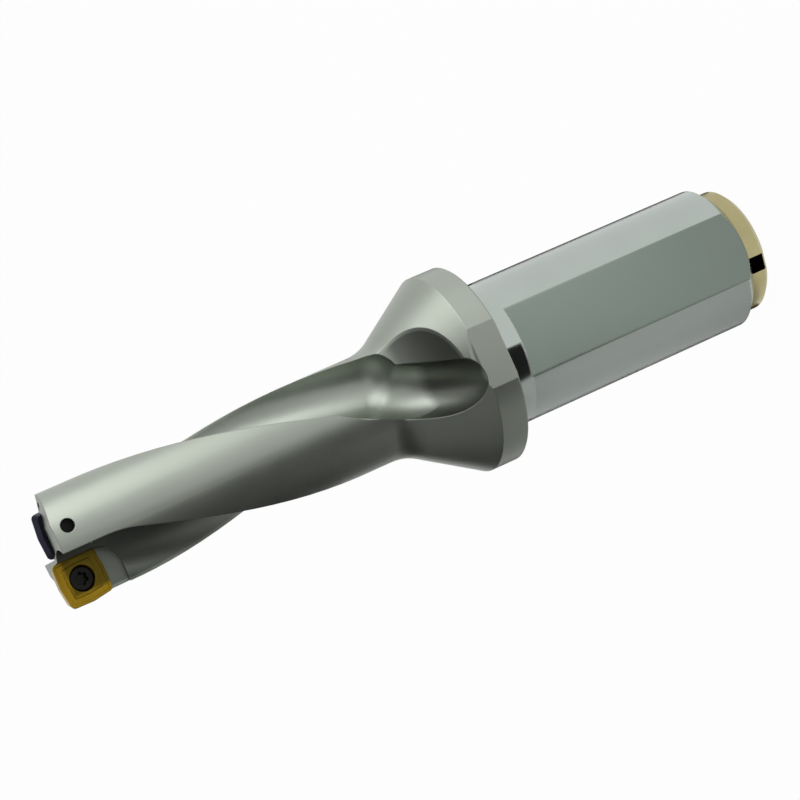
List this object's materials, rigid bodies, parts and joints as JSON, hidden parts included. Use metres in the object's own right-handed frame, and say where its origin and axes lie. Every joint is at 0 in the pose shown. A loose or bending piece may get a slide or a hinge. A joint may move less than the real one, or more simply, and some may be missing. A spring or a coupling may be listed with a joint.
{
  "type": "indexable drill",
  "caption": "Steel drill with a flatted cylindrical shank, conical flange, two helical flutes and two screwed square cutting inserts at the tip.",
  "frame": {"origin": "centre of the ring's end face at the shank's end, on the drill's axis", "axes": "+Z along the drill's axis from the shank's end to the cutting tip, the clamping flats face -Y, the inserts' rake faces lie near the XZ plane"},
  "size_m": [0.0346, 0.0338, 0.131],
  "materials": {
    "body": "satin nickel-plated steel",
    "ring": "satin pale gold",
    "gold_insert": "gold coated carbide",
    "dark_insert": "dark coated carbide",
    "screw": "black oxide steel"
  },
  "bodies": {
    "root": {"drill_body": "body", "end_ring": "ring", "peripheral_insert": "gold_insert", "central_insert": "dark_insert", "peripheral_screw": "screw", "central_screw": "screw"}
  },
  "joints": []
}
